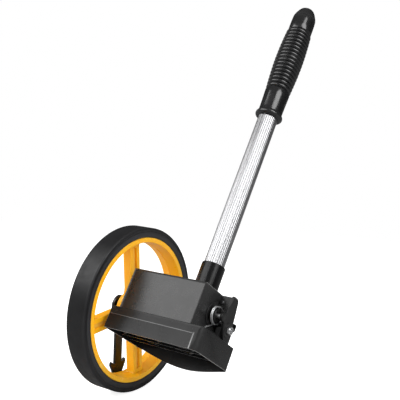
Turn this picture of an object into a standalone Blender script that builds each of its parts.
"""Hand-held measuring wheel with a half-metre wheel, a five-digit counter and a
telescoping handle.

World frame: metres, +Z up, origin at the middle of the axle head's flat end,
beside the pointer.  +X is the direction the tool is pushed, +Y runs along the
axle from the wheel to the counter box.  The handle leans back (towards -X) by
LEAN, so everything fixed to the handle is built in a tilted frame that starts
at the centre of the wheel: x points to the front of the counter box, y along
the axle and z up the handle.  Sizes are in mm unless a comment says otherwise.
"""
import math

import bmesh
import bpy
from mathutils import Matrix, Vector

# ---------------------------------------------------------- shared dimensions
MM = 0.001
LEAN = math.radians(32.0)        # handle leans back from the vertical
GAP = 0.3                        # running and assembly gap
WALL = 2.0                       # counter case

AXLE_R = 3.0
AXLE_END_R = 2.0                 # turned-down end for the nut
AXLE_HEAD = -22.6                # flat end of the axle's head, from the wheel's centre
BORE_R = AXLE_R + GAP
WHEEL_CENTRE = (0, -AXLE_HEAD, 0)     # in the world frame

COUNTER_AT = (14.5, 7.4)         # (x, z) axis of the digit drums and reset lever
COUNTER_ANGLE = math.atan2(COUNTER_AT[1], COUNTER_AT[0])
DRIVE_TEETH, COUNTER_TEETH = 20, 40
MODULE = 2 * math.hypot(*COUNTER_AT) / (DRIVE_TEETH + COUNTER_TEETH)
SHAFT_R = 2.0                    # reset shaft
SHAFT_BORE_R = SHAFT_R + GAP

FLOOR_Z = -11.2                  # underside of what stands on the deck
POLE_Y = 71.8                    # handle axis along the axle
POLE_AT = (0, POLE_Y)
SOCKET_R = 11.5

# screw places on the deck (x, y), and the one in the side of the bracket (y, z)
COVER_SCREWS = ((38.2, 24.6), (38.2, 92.6), (-9.9, 33.0), (-9.9, 92.6))
SOCKET_SCREWS = ((-7.4, POLE_Y), (7.4, POLE_Y))
COUNTER_SCREWS = ((26.0, 30.0), (26.0, 52.5))
FOOT_SCREWS = ((-5.0, 105.0),)
LUG_SCREW = (101.2, 21.0)
CLEARANCE_R = 1.4

# ------------------------------------------------------------------ new scene
for old in list(bpy.data.objects):
    bpy.data.objects.remove(old, do_unlink=True)

PARTS = bpy.data.collections.new("measuring_wheel")
GUIDES = bpy.data.collections.new("guides")
bpy.context.scene.collection.children.link(PARTS)
bpy.context.scene.collection.children.link(GUIDES)


def empty(name, location=(0, 0, 0), lean=0.0, parent=None):
    """An empty that carries a joint axis or a tilted frame."""
    node = bpy.data.objects.new(name, None)
    node.empty_display_size = 0.01
    node.location = [v * MM for v in location]
    node.rotation_euler = (0.0, lean, 0.0)
    node.parent = parent
    GUIDES.objects.link(node)
    return node


HANDLE = empty("handle_frame", WHEEL_CENTRE, lean=-LEAN)
WHEEL_AXIS = empty("wheel_axis", parent=HANDLE)
POINTER_AXIS = empty("pointer_axis", WHEEL_CENTRE)
COUNTER_AXIS = empty("counter_axis", (COUNTER_AT[0], 0, COUNTER_AT[1]), parent=HANDLE)

# ------------------------------------------------------------------ materials
# look: (base colour, roughness, metallic, alpha)
LOOKS = {
    "rubber": ((0.018, 0.018, 0.020), 0.45, 0.0, 1.0),
    "yellow": ((0.98, 0.50, 0.035), 0.35, 0.0, 1.0),
    "black": ((0.030, 0.030, 0.032), 0.40, 0.0, 1.0),
    "gloss": ((0.012, 0.012, 0.013), 0.22, 0.0, 1.0),
    "alloy": ((0.82, 0.83, 0.85), 0.28, 1.0, 1.0),
    "steel": ((0.60, 0.61, 0.63), 0.30, 1.0, 1.0),
    "brass": ((0.70, 0.47, 0.20), 0.35, 1.0, 1.0),
    "white": ((0.80, 0.80, 0.78), 0.45, 0.0, 1.0),
    "clear": ((0.85, 0.90, 0.92), 0.05, 0.0, 0.4),
}
SHARP_ANGLE = math.radians(35)


def material(name, look):
    colour, roughness, metallic, alpha = LOOKS[look]
    mat = bpy.data.materials.new(name + "_" + look)
    mat.use_nodes = True
    mat.diffuse_color = (*colour, alpha)
    shader = mat.node_tree.nodes["Principled BSDF"]
    shader.inputs["Base Color"].default_value = (*colour, 1.0)
    shader.inputs["Roughness"].default_value = roughness
    shader.inputs["Metallic"].default_value = metallic
    shader.inputs["Alpha"].default_value = alpha
    return mat


def finish(obj, name, look, parent, smooth=True):
    """Name a finished solid, give it its own material and hang it in its frame."""
    obj.name = name
    obj.data.name = name
    obj.data.materials.clear()
    obj.data.materials.append(material(name, look))
    if smooth:
        obj.data.shade_smooth()
        obj.data.set_sharp_from_angle(angle=SHARP_ANGLE)
    if parent is COUNTER_AXIS:
        # drawn in the handle frame, so shift it to keep its place under its own axis
        obj.data.transform(Matrix.Translation(-parent.location))
    obj.parent = parent


# ------------------------------------------------------------- solid building
def tidy(mesh):
    """Merge coincident points and turn all faces outwards (distances in metres)."""
    bm = bmesh.new()
    bm.from_mesh(mesh)
    bmesh.ops.remove_doubles(bm, verts=bm.verts, dist=0.000002)
    bmesh.ops.dissolve_degenerate(bm, edges=bm.edges, dist=0.000001)
    bmesh.ops.recalc_face_normals(bm, faces=bm.faces)
    bm.to_mesh(mesh)
    bm.free()


def linked(name, data):
    """A new object for the data, among the parts."""
    obj = bpy.data.objects.new(name, data)
    PARTS.objects.link(obj)
    return obj


def bake(obj):
    """Replace an object by the mesh its modifiers or curve make."""
    bpy.context.view_layer.update()
    graph = bpy.context.evaluated_depsgraph_get()
    mesh = bpy.data.meshes.new_from_object(obj.evaluated_get(graph))
    tidy(mesh)
    solid = linked(obj.name + "_solid", mesh)
    solid.matrix_world = obj.matrix_world
    bpy.data.objects.remove(obj, do_unlink=True)
    return solid


def boolean(operation, body, tools):
    """Apply the tools to the body one by one, dropping each after use."""
    for tool in tools:
        tool.hide_render = True
        mod = body.modifiers.new("cut", "BOOLEAN")
        mod.operation = operation
        mod.solver = "EXACT"
        mod.object = tool
        body = bake(body)
        bpy.data.objects.remove(tool, do_unlink=True)
    return body


def cut(body, *tools):
    return boolean("DIFFERENCE", body, tools)


def join(body, *tools):
    return boolean("UNION", body, tools)


def common(body, *tools):
    return boolean("INTERSECT", body, tools)


def box(*limits):
    """Axis-aligned block between its (low, high) limits in x, y and z."""
    bpy.ops.mesh.primitive_cube_add(size=1.0)
    obj = bpy.context.active_object
    for coll in list(obj.users_collection):
        coll.objects.unlink(obj)
    PARTS.objects.link(obj)
    size = Matrix.Diagonal([(hi - lo) * MM for lo, hi in limits] + [1.0])
    centre = Vector([(lo + hi) / 2 * MM for lo, hi in limits])
    obj.data.transform(Matrix.Translation(centre) @ size)
    return obj


TURN_TO = {
    "X": Matrix.Rotation(math.radians(90), 4, "Y"),
    "Y": Matrix.Rotation(math.radians(-90), 4, "X"),
    "Z": Matrix.Identity(4),
}


def lay_along(mesh, axis, at, along=0):
    """Turn a mesh drawn along z to an axis; `at` is its place in the other two axes."""
    mesh.transform(TURN_TO[axis])
    place = {"X": (along, *at), "Y": (at[0], along, at[1]), "Z": (*at, along)}[axis]
    mesh.transform(Matrix.Translation([v * MM for v in place]))


def rod(axis, radius, lo, hi, at, segments=24):
    """Plain cylinder along an axis."""
    bm = bmesh.new()
    bmesh.ops.create_cone(bm, cap_ends=True, segments=segments, radius1=radius * MM,
                          radius2=radius * MM, depth=(hi - lo) * MM)
    mesh = bpy.data.meshes.new("rod")
    bm.to_mesh(mesh)
    bm.free()
    lay_along(mesh, axis, at, (lo + hi) / 2)
    return linked("rod", mesh)


def turned(axis, profile, at=(0, 0), segments=32):
    """Body of revolution from a closed (radius, height) profile, by a Screw modifier."""
    area = sum(p[0] * q[1] - q[0] * p[1]
               for p, q in zip(profile, profile[1:] + profile[:1]))
    points = list(profile) if area < 0 else list(reversed(profile))
    on_axis = any(radius == 0 for radius, _ in points)
    if on_axis:                      # an open run that starts and ends on the axis
        start = next(i for i in range(len(points))
                     if points[i][0] == 0 and points[i - 1][0] == 0)
        points = points[start:] + points[:start]
    edges = [(i, i + 1) for i in range(len(points) - 1)]
    if not on_axis:
        edges.append((len(points) - 1, 0))
    mesh = bpy.data.meshes.new("turned")
    mesh.from_pydata([(r * MM, 0.0, h * MM) for r, h in points], edges, [])
    obj = linked("turned", mesh)
    mod = obj.modifiers.new("turn", "SCREW")
    mod.axis = "Z"
    mod.angle = 2 * math.pi
    mod.steps = segments
    mod.render_steps = segments
    mod.use_merge_vertices = True
    mod.merge_threshold = 0.000005
    solid = bake(obj)
    lay_along(solid.data, axis, at)
    return solid


def prism(axis, loops, lo, hi):
    """Flat outline(s) raised along an axis; inner loops are holes.
    axis X takes (y, z) points, axis Y takes (x, z) points, axis Z takes (x, y)."""
    curve = bpy.data.curves.new("outline", "CURVE")
    curve.dimensions = "2D"
    curve.fill_mode = "BOTH"
    curve.extrude = (hi - lo) / 2 * MM
    for loop in loops:
        spline = curve.splines.new("POLY")
        spline.points.add(len(loop) - 1)
        for point, (u, v) in zip(spline.points, loop):
            point.co = (u * MM, v * MM, 0.0, 1.0)
        spline.use_cyclic_u = True
    solid = bake(linked("outline", curve))
    mid = (lo + hi) / 2 * MM
    frame = {
        "X": Matrix(((0, 0, 1, mid), (1, 0, 0, 0), (0, 1, 0, 0), (0, 0, 0, 1))),
        "Y": Matrix(((1, 0, 0, 0), (0, 0, -1, mid), (0, 1, 0, 0), (0, 0, 0, 1))),
        "Z": Matrix(((1, 0, 0, 0), (0, 1, 0, 0), (0, 0, 1, mid), (0, 0, 0, 1))),
    }[axis]
    solid.data.transform(frame)
    tidy(solid.data)
    return solid


def ring(axis, r_in, r_out, lo, hi, at=(0, 0), segments=24):
    return turned(axis, [(r_in, lo), (r_out, lo), (r_out, hi), (r_in, hi)], at, segments)


def screw(axis, sign, at, seat, head_r, head_h, shank_r, length):
    """Pan-head screw; the shank points along sign*axis from the head's seat."""
    top, tip = seat - sign * head_h, seat + sign * length
    return turned(axis, [(0, top), (head_r * 0.8, top), (head_r, top + sign * 0.4 * head_h),
                         (head_r, seat), (shank_r, seat), (shank_r, tip), (0, tip)],
                  at, segments=10)


def screw_holes(places, lo, hi, radius=CLEARANCE_R):
    """Tools for upright screw holes at (x, y) places."""
    return [rod("Z", radius, lo, hi, at, 12) for at in places]


def shaft_bore(lo, hi):
    """Tool for the reset shaft's hole."""
    return rod("Y", SHAFT_BORE_R, lo, hi, COUNTER_AT, 20)


# ------------------------------------------------------------------- outlines
def swing(point, angle, centre=(0, 0)):
    """A point given from the centre, turned about it."""
    u, v = point
    return (centre[0] + u * math.cos(angle) - v * math.sin(angle),
            centre[1] + u * math.sin(angle) + v * math.cos(angle))


def polar(radius, angle, centre=(0, 0)):
    return swing((radius, 0), angle, centre)


def circle(radius, centre=(0, 0), count=24):
    return [polar(radius, 2 * math.pi * k / count, centre) for k in range(count)]


def rounded(points, radii, steps=5):
    """Polygon with each corner replaced by an arc of its own radius."""
    out = []
    for i, radius in enumerate(radii):
        corner = Vector(points[i])
        if radius <= 0:
            out.append(tuple(corner))
            continue
        to_prev = (Vector(points[i - 1]) - corner).normalized()
        to_next = (Vector(points[(i + 1) % len(points)]) - corner).normalized()
        half = to_prev.angle(to_next) / 2
        reach = radius / math.tan(half)
        centre = corner + (to_prev + to_next).normalized() * (radius / math.sin(half))
        first = corner + to_prev * reach - centre
        last = corner + to_next * reach - centre
        turn = math.atan2(first.x * last.y - first.y * last.x, first.dot(last))
        out += [swing(first, turn * k / steps, centre) for k in range(steps + 1)]
    return out


def rectangle(u0, u1, v0, v1, radii=(0, 0, 0, 0)):
    """Corner radii run from (u0, v0) by way of (u1, v0)."""
    return rounded([(u0, v0), (u1, v0), (u1, v1), (u0, v1)], radii)


def toothed(teeth, root, tip, tip_share, centre=(0, 0), phase=0.0):
    """Trapezoidal teeth; `phase` puts a tooth at that angle and `tip_share` is half
    the tip's width as a share of the tooth pitch."""
    pitch = 2 * math.pi / teeth
    corners = ((root, -0.30), (tip, -tip_share), (tip, tip_share), (root, 0.30))
    return [polar(radius, phase + k * pitch + share * pitch, centre)
            for k in range(teeth) for radius, share in corners]


def gear_outline(teeth, centre, phase):
    """Gear of the counter drive, with working backlash."""
    pitch_r = teeth * MODULE / 2
    return toothed(teeth, pitch_r - 1.05 * MODULE, pitch_r + 0.72 * MODULE, 0.11,
                   centre, phase)


# ---------------------------------------------------------------------- wheel
CIRCUMFERENCE = 500.0            # one turn of the wheel rolls half a metre
WHEEL_R = CIRCUMFERENCE / (2 * math.pi)
TYRE_W = 22.0
RIM_R = 70.0                     # seat of the tyre
RIM_FACE_R = 65.5                # inner edge of the rim's face
RIM_MID_R = 63.6                 # inner edge of the rim at mid width
SPOKE_ANGLES = [math.radians(deg) for deg in (52.5, 142.5, 232.5, 322.5)]
SPOKE_W = 13.6
SPOKE_LO, SPOKE_HI = -4.2, 5.0
SPOKE_REACH = 67.0               # the spokes end inside the rim
SPOKE_FILLET = 12.0
SLOT_R = (19, 60)                # radii where the spoke slots start and end
SLOT_HALF, SLOT_DEPTH = 2.25, 2.5
HUB_R = 15.0
HUB_HALF = 9.5
HUB_BORE_R = 5.0
BUSH_R = 4.7
SLEEVE_R, SLEEVE_END = 5.0, 27.8      # drive gear's sleeve into the counter box
GEAR_SCREWS = [polar(8.5, math.radians(90 + 120 * k)) for k in range(3)]    # (x, z)


def tyre():
    half, shoulder, tread = TYRE_W / 2, RIM_R + 0.8, WHEEL_R - 1.8
    return turned("Y", [(RIM_R + GAP, -half + 0.5), (shoulder, -half), (tread, -half),
                        (WHEEL_R, -half + 1.4), (WHEEL_R, half - 1.4), (tread, half),
                        (shoulder, half), (RIM_R + GAP, half - 0.5)], segments=72)


def spider():
    """Four spokes with filleted roots and a slot in both faces."""
    half = SPOKE_W / 2
    centre = (half + SPOKE_FILLET, half + SPOKE_FILLET)
    spoke = [(SPOKE_REACH, -half), (SPOKE_REACH, half)]
    spoke += [polar(SPOKE_FILLET, math.radians(-90 - 15 * k), centre) for k in range(7)]
    slot = rectangle(*SLOT_R, -SLOT_HALF, SLOT_HALF)
    outline = [swing(point, angle) for angle in SPOKE_ANGLES for point in spoke]
    slots = [[swing(point, angle) for point in slot] for angle in SPOKE_ANGLES]
    return cut(prism("Y", [outline], SPOKE_LO, SPOKE_HI),
               prism("Y", slots, SPOKE_HI - SLOT_DEPTH, SPOKE_HI + 1),
               prism("Y", slots, SPOKE_LO - 1, SPOKE_LO + SLOT_DEPTH))


def wheel_rim():
    half = TYRE_W / 2 - 0.4
    rim = turned("Y", [(RIM_FACE_R, -half), (RIM_R, -half), (RIM_R, half),
                       (RIM_FACE_R, half), (RIM_MID_R, 0.6), (RIM_MID_R, -0.6)], segments=72)
    hub = turned("Y", [(0, -HUB_HALF), (HUB_R - 2, -HUB_HALF), (HUB_R, -4.8),
                       (HUB_R, HUB_HALF), (0, HUB_HALF)], segments=36)
    return cut(join(rim, spider(), hub),
               rod("Y", HUB_BORE_R, -12, 12, (0, 0), 28),
               *[rod("Y", 1.1, 3.5, 12, at, 10) for at in GEAR_SCREWS])


def flanged_bush():
    """Bush on the pointer's side of the hub."""
    return turned("Y", [(BORE_R, -10.9), (6.5, -10.9), (6.5, -9.8), (BUSH_R, -9.8),
                        (BUSH_R, -1.0), (BORE_R, -1.0)], segments=28)


def drive_gear():
    """Flange on the hub, sleeve into the counter box and the gear teeth."""
    bore, flange_r = BORE_R + 0.1, 12.0
    sleeve = turned("Y", [(bore, 9.8), (flange_r, 9.8), (flange_r, 11.3), (SLEEVE_R, 11.3),
                          (SLEEVE_R, SLEEVE_END), (bore, SLEEVE_END)], segments=32)
    teeth = prism("Y", [gear_outline(DRIVE_TEETH, (0, 0), COUNTER_ANGLE), circle(4.2)],
                  24.2, SLEEVE_END - 0.01)
    return cut(join(sleeve, teeth), *[rod("Y", 1.2, 9, 12, at, 12) for at in GEAR_SCREWS])


finish(tyre(), "tyre", "rubber", WHEEL_AXIS)
finish(wheel_rim(), "wheel_rim", "yellow", WHEEL_AXIS)
finish(flanged_bush(), "hub_bush_left", "brass", WHEEL_AXIS)
finish(ring("Y", BORE_R, BUSH_R, 1.0, 9.4, segments=28), "hub_bush_right", "brass", WHEEL_AXIS)
finish(drive_gear(), "drive_gear", "white", WHEEL_AXIS)
for number, place in enumerate(GEAR_SCREWS, 1):
    finish(screw("Y", -1, place, seat=11.6, head_r=1.8, head_h=1.1, shank_r=0.85, length=7.0),
           "gear_screw_%d" % number, "steel", WHEEL_AXIS)


# -------------------------------------------------------------------- pointer
def pointer():
    """Gravity pointer: it hangs straight down in the world, whatever the handle does."""
    boss = [polar(11, math.radians(-54 + 24 * k)) for k in range(13)]      # over the top
    # (x, z): stem and arrowhead, from -x round the tip to +x
    tail = [(-4.5, -10.2), (-4.5, -57), (-9.5, -52.5), (-10.6, -56.5), (0, -76.5),
            (10.6, -56.5), (9.5, -52.5), (4.5, -57), (4.5, -10.2)]
    return prism("Y", [boss + tail, circle(BORE_R)], -18.6, -15.6)


finish(pointer(), "pointer", "gloss", POINTER_AXIS)


# ----------------------------------------------------------------------- axle
SPACER_R = 4.4
THREAD_Y = 110.4                 # where the axle turns down for the nut
# rings on the axle: name, look, outer radius, y from, y to
AXLE_RINGS = (
    ("pointer_washer", "steel", 6.0, -19.7, -18.9),
    ("pointer_spacer", "black", 5.0, -15.3, -11.2),
    ("axle_spacer_left", "steel", SPACER_R, 28.2, 61.2),
    ("axle_spacer_right", "black", SPACER_R, 82.4, 107.2),
)


def axle():
    return turned("Y", [(0, AXLE_HEAD), (4.0, AXLE_HEAD), (6.0, -21.6), (6.0, -20.0),
                        (AXLE_R, -20.0), (AXLE_R, THREAD_Y), (AXLE_END_R, THREAD_Y),
                        (AXLE_END_R, 113.7), (1.6, 114.1), (0, 114.1)], segments=28)


def axle_nut():
    hexagon = [polar(3.9, math.radians(60 * k + 15)) for k in range(6)]
    return prism("Y", [hexagon, circle(AXLE_END_R + GAP)], 110.7, 113.4)


finish(axle(), "axle", "steel", HANDLE)
for ring_name, ring_look, outer_r, y_from, y_to in AXLE_RINGS:
    finish(ring("Y", BORE_R, outer_r, y_from, y_to), ring_name, ring_look, HANDLE)
finish(axle_nut(), "axle_nut", "steel", HANDLE, smooth=False)


# --------------------------------------------------------------- counter case
COVER_X = (-14.3, 42.0)
COVER_Y = (15.0, 98.0)
COVER_Z = (FLOOR_Z, 28.4)
WINDOW_X = (7.0, 23.0)
WINDOW_Y = (28.0, 60.0)
PLATE_Y = (WINDOW_Y[0] + GAP, WINDOW_Y[1] - GAP)

SKIRT_X = (-14.3, 45.6)
SKIRT_Y = (11.8, 114.2)
SKIRT_TOP = -11.5
SKIRT_BOTTOM = -32.7
DECK_UNDERSIDE = SKIRT_TOP - WALL
ARCH_CROWN_Y = 70.0              # lowest point of the back wall's edge
ARCH_SPANS = (57.0, 46.0)        # from there to the arch's ends, towards -Y and +Y
ARCH_LEVEL, ARCH_DROP = -33.0, 8.0

RIB_HALF = 0.8
RIB_TOP = -13.0                  # inside the deck
RIB_X = (3.2, 19.0, 33.5)        # ribs along the box
# diagonal ribs between them: front rib, y there, back rib, y there
DIAGONALS = (
    (2, 34.0, 1, 16.0), (2, 73.0, 1, 55.0), (2, 73.0, 1, 91.0), (2, 110.5, 1, 92.5),
    (1, 34.0, 0, 50.0), (1, 66.0, 0, 82.0), (1, 98.0, 0, 82.0),
)


def cover_shell():
    """Outside of the cover less the room inside, open underneath."""
    (x0, x1), (y0, y1), (z0, z1) = COVER_X, COVER_Y, COVER_Z
    top = z1 - WALL
    below = z0 - 2
    across, along = (x0 - 2, x1 + 2), (y0 - 2, y1 + 2)
    body = common(
        prism("Z", [rectangle(x0, x1, y0, y1, (3, 7.5, 1.2, 2))], z0, z1 + 2),
        prism("X", [rounded([(y0 - 2, below), (y1, below), (y1, z1), (y0, z1)],
                            [0, 0, 1.2, 5])], *across),
        prism("Y", [rectangle(x0, x1, below, z1, (0, 0, 3.4, 4))], *along))
    room = common(
        prism("Z", [rectangle(x0 + WALL, x1 - WALL, y0 + WALL, y1 - WALL,
                              (1.5, 5.5, 0.6, 1))], z0 - 1, top),
        prism("X", [rounded([(y0, below), (y1, below), (y1, top), (y0 + WALL, top)],
                            [0, 0, 0.5, 3.2])], *across),
        prism("Y", [rectangle(x0 + WALL, x1, below, top, (0, 0, 1.6, 2.4))], *along))
    return cut(body, room)


def upper_cover():
    """Cover with screw posts inside and a lug for the bracket on its +Y end."""
    (y0, y1), (z0, z1) = COVER_Y, COVER_Z
    body = join(cover_shell(), *[rod("Z", 2.9, z0, 14, at, 16) for at in COVER_SCREWS],
                box((0.4, 5.8), (y1 - 1, 104.4), (17.2, 25.0)))
    return cut(body, *screw_holes(COVER_SCREWS, z0 - 1, 1, radius=1.35),
               rod("Y", 5.6, y0 - 1, y0 + 3, (0, 0), 28),                # gear sleeve
               rod("Y", 4.8, y1 - 3, y1 + 1, (0, 0), 28),                # axle spacer
               shaft_bore(y1 - 3, y1 + 1),
               rod("Z", SOCKET_R + GAP, z1 - 4, z1 + 1, POLE_AT, 40),    # handle socket
               box(WINDOW_X, WINDOW_Y, (z1 - 4, z1 + 1)),
               rod("X", 1.35, 1.5, 7, LUG_SCREW, 12))


def skirt_shell():
    """Deck with walls all round, flaring out a little at the front."""
    (x0, x1), (y0, y1) = SKIRT_X, SKIRT_Y
    outside = prism("Y", [[(x0, -44), (x1, -44), (x1, -19.2), (44.0, -13.2),
                           (43.7, SKIRT_TOP), (x0, SKIRT_TOP)]], y0, y1)
    outside = common(outside, prism("Z", [rectangle(x0, x1, y0, y1, (2, 3, 9.5, 3))],
                                    -46, -10))
    back, front = x0 + WALL, x1 - WALL
    inside = prism("Y", [[(back, -46), (front, -46), (front, -19.8), (42.2, DECK_UNDERSIDE),
                          (back, DECK_UNDERSIDE)]], y0 - 1, y1 + 1)
    inside = common(inside, prism("Z", [rectangle(back, front, y0 + WALL, y1 - WALL,
                                                  (1, 1.6, 7.5, 1.5))], -47, -9))
    return cut(outside, inside)


def skirt_trims():
    """Tools for the bottom edge: arched down at the back wall, flat elsewhere."""
    (x0, x1), (y0, y1) = SKIRT_X, SKIRT_Y
    low = -60
    arch = []
    for k in range(13):
        y = y0 - 1 + (y1 - y0 + 2) * k / 12
        share = (y - ARCH_CROWN_Y) / ARCH_SPANS[0 if y < ARCH_CROWN_Y else 1]
        bulge = max(0.0, math.cos(share * math.pi / 2)) ** 1.2
        arch.append((y, ARCH_LEVEL - ARCH_DROP * bulge))
    return (prism("X", [arch + [(y1 + 1, low), (y0 - 1, low)]], x0 - 1, x0 + WALL + 0.02),
            box((x0 + WALL + 0.01, x1 + 1), (y0 - 1, y1 + 1), (low, SKIRT_BOTTOM)))


def diagonal_rib(front_rib, y_front, back_rib, y_back):
    front = Vector((RIB_X[front_rib], y_front))
    back = Vector((RIB_X[back_rib], y_back))
    run = (back - front).normalized()
    side = Vector((-run.y, run.x)) * RIB_HALF
    corners = (front + side, back + side, back - side, front - side)
    return prism("Z", [[tuple(corner) for corner in corners]], -29.5, RIB_TOP)


def lower_skirt():
    """Deck under the counter with a skirt around it, open underneath and ribbed."""
    y0, y1 = SKIRT_Y
    body = cut(skirt_shell(), *skirt_trims())
    for x in RIB_X:
        body = join(body, box((x - RIB_HALF, x + RIB_HALF), (y0 + 1, y1 - 1),
                              (-30.5, RIB_TOP)))
    body = join(body, *[diagonal_rib(*diagonal) for diagonal in DIAGONALS])
    return cut(body, *screw_holes(COVER_SCREWS + SOCKET_SCREWS + COUNTER_SCREWS + FOOT_SCREWS,
                                  -14, -11))


def display_window():
    """Clear block: a plate in the cover's opening with a wider flange under the cover."""
    plate = box((WINDOW_X[0] + GAP, WINDOW_X[1] - GAP), PLATE_Y, (22.0, 28.0))
    flange = box((6.0, 24.0), PLATE_Y, (24.2, 26.1))
    return join(plate, flange)


def side_bracket():
    """Outer cheek on the axle's end, a leaning web to the cover and a foot on the deck."""
    # (x, z) corners and the radius of each
    outline = [(-8.0, FLOOR_Z), (2.5, FLOOR_Z), (9.6, -1.0), (11.2, 3.9),
               (17.9, 3.9), (17.9, 10.9), (12.4, 11.4), (8.4, 29.6),
               (-0.8, 29.6), (-2.6, 21.0), (-5.4, 6.0), (-8.2, -2.0)]
    radii = [1, 3, 5, 1.2, 3.3, 3.3, 1.2, 1.2, 4.5, 6, 4, 4]
    cheek = prism("Y", [rounded(outline, radii, 4)], 107.6, 110.0)
    web = prism("Y", [[(11.3, 15.8), (8.5, 28.3), (5.4, 28.3), (8.2, 15.8)]], 98.3, 107.9)
    pad = rod("X", 2.7, 7.6, 11.0, LUG_SCREW, 20)
    strut = prism("Y", [[(12.2, 11.8), (11.2, 16.4), (8.1, 16.4), (9.1, 11.8)]], 105.9, 107.9)
    foot = box((-7.9, 9.0), (101.0, 107.9), (FLOOR_Z, -9.0))
    post = box((1.0, 8.9), (103.0, 107.8), (-9.6, -0.5))
    boss = rod("Y", 7.2, 106.2, 110.4, (0, 0), 32)
    return cut(join(cheek, web, pad, strut, foot, post, boss),
               rod("Y", 4.75, 102, 107.5, (0, 0), 28),                   # axle spacer
               rod("Y", BORE_R, 105, 112, (0, 0), 28),
               shaft_bore(105, 109.2),
               rod("X", CLEARANCE_R, 4, 12, LUG_SCREW, 12),
               *screw_holes(FOOT_SCREWS, -13, -8))


finish(upper_cover(), "upper_cover", "black", HANDLE)
finish(lower_skirt(), "lower_skirt", "black", HANDLE)
finish(display_window(), "display_window", "clear", HANDLE, smooth=False)
finish(side_bracket(), "side_bracket", "black", HANDLE)

# screws up through the deck: name, places, shank length
DECK_SCREWS = (
    ("cover_screw", COVER_SCREWS, 12.0),
    ("socket_screw", SOCKET_SCREWS, 7.5),
    ("counter_screw", COUNTER_SCREWS, 3.6),
    ("bracket_screw", FOOT_SCREWS, 5.0),
)
for screw_name, places, shank in DECK_SCREWS:
    for number, place in enumerate(places, 1):
        finish(screw("Z", 1, place, seat=-13.8, head_r=2.1, head_h=1.5, shank_r=1.1,
                     length=shank), "%s_%d" % (screw_name, number), "steel", HANDLE)
finish(screw("X", -1, LUG_SCREW, seat=11.3, head_r=2.0, head_h=1.1, shank_r=1.05, length=7.6),
       "bracket_screw_2", "steel", HANDLE)


# ------------------------------------------------------------- digit counter
DRUM_COUNT = 5
DRUM_R, DRUM_W, DRUM_PITCH, DRUM_Y0 = 10.5, 5.6, 6.2, 27.8
PINION_AT = polar(14.1, math.radians(-15.0), COUNTER_AT)
PINION_SHAFT_R = 0.85
PINION_BORE_R = PINION_SHAFT_R + GAP


def drum(index):
    """Digit drum with a ring-shaped recess in its -Y face."""
    y = DRUM_Y0 + DRUM_PITCH * index
    recess = y + 1.4
    return turned("Y", [(SHAFT_BORE_R, y), (5.0, y), (5.0, recess), (8.8, recess), (8.8, y),
                        (DRUM_R, y), (DRUM_R, y + DRUM_W), (SHAFT_BORE_R, y + DRUM_W)],
                  COUNTER_AT, 24)


def counter_gear():
    """Driven gear, with a gap between two teeth facing the drive gear's tooth."""
    phase = COUNTER_ANGLE + math.pi + math.pi / COUNTER_TEETH
    return prism("Y", [gear_outline(COUNTER_TEETH, COUNTER_AT, phase),
                       circle(SHAFT_BORE_R, COUNTER_AT, 20)], 24.4, 27.4)


def pinion(index):
    """Transfer pinion astride the gap after a drum."""
    y = DRUM_Y0 + DRUM_PITCH * (index + 1) - 0.3
    return prism("Y", [toothed(8, root=1.9, tip=3.1, tip_share=0.14, centre=PINION_AT),
                       circle(PINION_BORE_R, PINION_AT, 12)], y - 2.0, y + 2.0)


def counter_frame():
    """U-shaped plate: a base on the deck and two ends that carry the shafts."""
    base = box((10.0, 35.0), (22.0, 60.6), (-11.0, -9.7))
    end = rounded([(9.5, -11.1), (35.2, -11.1), (35.2, 6.0), (22.0, 13.0),
                   (13.0, 13.0), (9.5, 9.0)], [0, 0, 2, 3, 3, 2], 3)
    body = join(base, prism("Y", [end], 21.6, 22.5), prism("Y", [end], 60.2, 61.0))
    return cut(body, shaft_bore(20, 62),
               rod("Y", PINION_BORE_R, 20, 62, PINION_AT, 12),
               *screw_holes(COUNTER_SCREWS, -12, -9))


finish(counter_gear(), "counter_gear", "white", COUNTER_AXIS)
for k in range(DRUM_COUNT):
    finish(drum(k), "digit_drum_%d" % (k + 1), "white", COUNTER_AXIS)
for k in range(DRUM_COUNT - 1):
    finish(pinion(k), "transfer_pinion_%d" % (k + 1), "white", HANDLE)
finish(rod("Y", PINION_SHAFT_R, 21.2, 61.4, PINION_AT, 12), "pinion_shaft", "steel", HANDLE)
finish(counter_frame(), "counter_frame", "steel", HANDLE)


# --------------------------------------------------------------- reset lever
COMB_ANGLE = math.radians(135)   # the comb lies up and back from the drums' axis
COMB_ENDS = ((22.8, 23.8), (58.9, 59.9))      # y limits of its end arms
SPRING_R, WIRE_R = 7.9, 0.6
SPRING_Y = (100.4, 103.8)
SPRING_TURNS, SPRING_STEPS = 2.5, 45
SPRING_START = math.radians(-116)
SPRING_LEG = Vector((12.6, 0.0, -7.6))


def reset_lever():
    """Lever beside the case with a hub through the spring and a finger pad behind."""
    # (x, z) corners and the radius of each
    outline = [(21.0, 1.2), (21.0, 13.6), (8.8, 13.9), (1.0, 9.9), (-15.5, 9.4),
               (-19.5, 12.0), (-19.5, 3.4), (-14.0, 5.1), (3.0, 5.2), (8.0, 0.9)]
    radii = [5.5, 5.5, 5, 3, 2, 0.8, 0.8, 2, 3, 5]
    plate = prism("Y", [rounded(outline, radii, 4)], 98.3, 99.5)
    pad = prism("X", [rounded([(98.7, 3.7), (105.5, 3.7), (105.5, 11.4), (98.7, 11.4)],
                              [0, 2, 2, 0], 4)], -19.2, -17.7)
    hub = rod("Y", 6.3, 98.8, 104.2, COUNTER_AT, 24)
    return cut(join(plate, pad, hub), shaft_bore(97, 106))


def comb_beam(y0, y1, r0, r1, half):
    """Bar of the comb between two radii from the drums' axis."""
    corners = ((r0, -half), (r1, -half), (r1, half), (r0, half))
    return prism("Y", [[swing(corner, COMB_ANGLE, COUNTER_AT) for corner in corners]], y0, y1)


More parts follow.
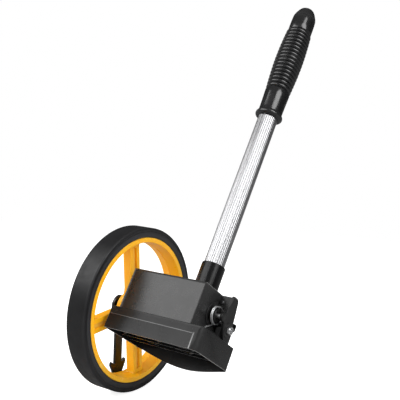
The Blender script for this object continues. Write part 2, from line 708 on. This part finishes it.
def reset_comb():
    """Bar on two end arms round the lever's shaft, with a finger for each drum."""
    body = join(comb_beam(22.9, 59.8, 13.3, 15.0, 1.2),
                *[comb_beam(*end, 0.0, 14.6, 1.9) for end in COMB_ENDS],
                *[rod("Y", 4.0, *end, COUNTER_AT, 20) for end in COMB_ENDS])
    for k in range(DRUM_COUNT):
        y = DRUM_Y0 + DRUM_PITCH * k + DRUM_W / 2
        body = join(body, comb_beam(y - 0.9, y + 0.9, 10.9, 13.8, 0.7))
    return cut(body, shaft_bore(20, 62))


def reset_spring():
    """Coil round the lever's hub with one straight leg running forward and down."""
    y0, y1 = SPRING_Y
    coil = []
    for k in range(SPRING_STEPS + 1):
        angle = SPRING_START - SPRING_TURNS * 2 * math.pi * k / SPRING_STEPS
        x, z = polar(SPRING_R, angle, COUNTER_AT)
        coil.append((x, y0 + (y1 - y0) * k / SPRING_STEPS, z))
    leg = [tuple(Vector(coil[0]) + SPRING_LEG * share) for share in (1.0, 0.5)]
    run = leg + coil
    curve = bpy.data.curves.new("spring", "CURVE")
    curve.dimensions = "3D"
    curve.bevel_depth = WIRE_R * MM
    curve.bevel_resolution = 2
    curve.use_fill_caps = True
    spline = curve.splines.new("POLY")
    spline.points.add(len(run) - 1)
    for point, (x, y, z) in zip(spline.points, run):
        point.co = (x * MM, y * MM, z * MM, 1.0)
    return bake(linked("spring", curve))


finish(rod("Y", SHAFT_R, 21.0, 108.9, COUNTER_AT, 24), "reset_shaft", "steel", COUNTER_AXIS)
finish(reset_lever(), "reset_lever", "black", COUNTER_AXIS)
finish(reset_comb(), "reset_comb", "black", COUNTER_AXIS)
finish(reset_spring(), "reset_spring", "alloy", HANDLE)


# -------------------------------------------------------- telescoping handle
SOCKET_TOP = 57.3
# inner and outer radius of each tube
OUTER_IN, OUTER_R = 9.1, 10.0
MIDDLE_IN, MIDDLE_R = 6.9, 7.8
INNER_IN, INNER_R = 4.4, 5.3
OUTER_TOP = 221.9
MIDDLE_BOTTOM, MIDDLE_TOP = 52.0, 338.0
INNER_BOTTOM, INNER_TOP = 64.0, 348.0
BUSH_H = 10.0
PLUG_R = 8.0
PLUG_BORE_R = INNER_R + GAP
GRIP_BORE_R = PLUG_R + GAP
GRIP_BOTTOM, GRIP_TOP = OUTER_TOP + GAP, 347.6
RIDGES_FROM, RIDGES_TO, RIDGE_COUNT = 255.0, 329.0, 17
CAP_TOP = 360.0

WIDE_BUSH = (MIDDLE_R + GAP, OUTER_IN - GAP)       # between outer and middle tube
SLIM_BUSH = (INNER_R + GAP, MIDDLE_IN - GAP)       # between middle and inner tube
# tubes and bushes: name, look, (inner, outer radius), (z from, z to), segments
POLE_RINGS = (
    ("outer_tube", "alloy", (OUTER_IN, OUTER_R), (14.3, OUTER_TOP), 48),
    ("tube_guide_bush", "black", WIDE_BUSH, (206.0, 221.6), 36),
    ("middle_tube", "alloy", (MIDDLE_IN, MIDDLE_R), (MIDDLE_BOTTOM, MIDDLE_TOP), 36),
    ("middle_slide_bush", "black", WIDE_BUSH, (MIDDLE_BOTTOM, MIDDLE_BOTTOM + BUSH_H), 36),
    ("middle_guide_bush", "black", SLIM_BUSH, (MIDDLE_TOP - BUSH_H, MIDDLE_TOP), 32),
    ("inner_tube", "alloy", (INNER_IN, INNER_R), (INNER_BOTTOM, INNER_TOP), 32),
    ("inner_slide_bush", "black", SLIM_BUSH, (INNER_BOTTOM, INNER_BOTTOM + BUSH_H), 32),
    ("grip_plug", "black", (PLUG_BORE_R, PLUG_R), (340.0, 345.7), 32),
)


def pole_socket():
    """Block on the deck, threaded by the axle, with a collar for the outer tube."""
    foot = box((-10.5, 10.5), (61.5, 82.1), (FLOOR_Z, 13.0))
    collar = turned("Z", [(0, 11.0), (SOCKET_R, 11.0), (SOCKET_R, SOCKET_TOP - 0.5),
                          (SOCKET_R - 0.5, SOCKET_TOP), (0, SOCKET_TOP)], POLE_AT, 40)
    return cut(join(foot, collar),
               rod("Z", OUTER_R + GAP, 14.0, SOCKET_TOP + 1, POLE_AT, 40),
               rod("Y", BORE_R, 60, 84, (0, 0), 28),
               *screw_holes(SOCKET_SCREWS, -12, -5.6))


def grip():
    """Sleeve with a collar at the bottom, a bellied run of ridges and a plain top."""
    profile = [(GRIP_BORE_R, GRIP_BOTTOM), (13.2, GRIP_BOTTOM), (14.2, GRIP_BOTTOM + 1.4),
               (14.2, GRIP_BOTTOM + 4.0), (13.0, GRIP_BOTTOM + 5.6),
               (12.3, GRIP_BOTTOM + 6.4), (12.9, 253.5)]
    length = RIDGES_TO - RIDGES_FROM
    pitch = length / RIDGE_COUNT
    for k in range(RIDGE_COUNT):
        z = RIDGES_FROM + pitch * k
        share = (z + pitch / 2 - RIDGES_FROM) / length
        belly = 12.95 + 1.85 * math.sin(math.pi * min(1.0, share * 0.92 + 0.02))
        profile += [(belly - 1.2, z), (belly, z + pitch * 0.5)]
    profile += [(11.9, RIDGES_TO), (12.5, 330.5), (12.5, 343.0), (12.2, GRIP_TOP),
                (GRIP_BORE_R, GRIP_TOP)]
    return turned("Z", profile, POLE_AT, 24)


def end_cap():
    """Plug that closes the grip over the inner tube, with a lanyard hole."""
    seat = GRIP_TOP + GAP
    body = turned("Z", [(0, 346.0), (PLUG_R, 346.0), (PLUG_R, seat), (12.2, seat),
                        (11.8, 349.5), (8.6, 357.2), (6.8, 359.4), (4.5, CAP_TOP),
                        (0, CAP_TOP)], POLE_AT, 28)
    return cut(body, rod("Z", PLUG_BORE_R, 345, 348.3, POLE_AT, 28),
               rod("Y", 3.2, 55, 90, (0, 353.7), 20))


finish(pole_socket(), "pole_socket", "black", HANDLE)
for ring_name, ring_look, ring_radii, heights, segments in POLE_RINGS:
    finish(ring("Z", *ring_radii, *heights, POLE_AT, segments), ring_name, ring_look, HANDLE)
finish(grip(), "grip", "gloss", HANDLE)
finish(end_cap(), "end_cap", "gloss", HANDLE)
bpy.context.view_layer.update()
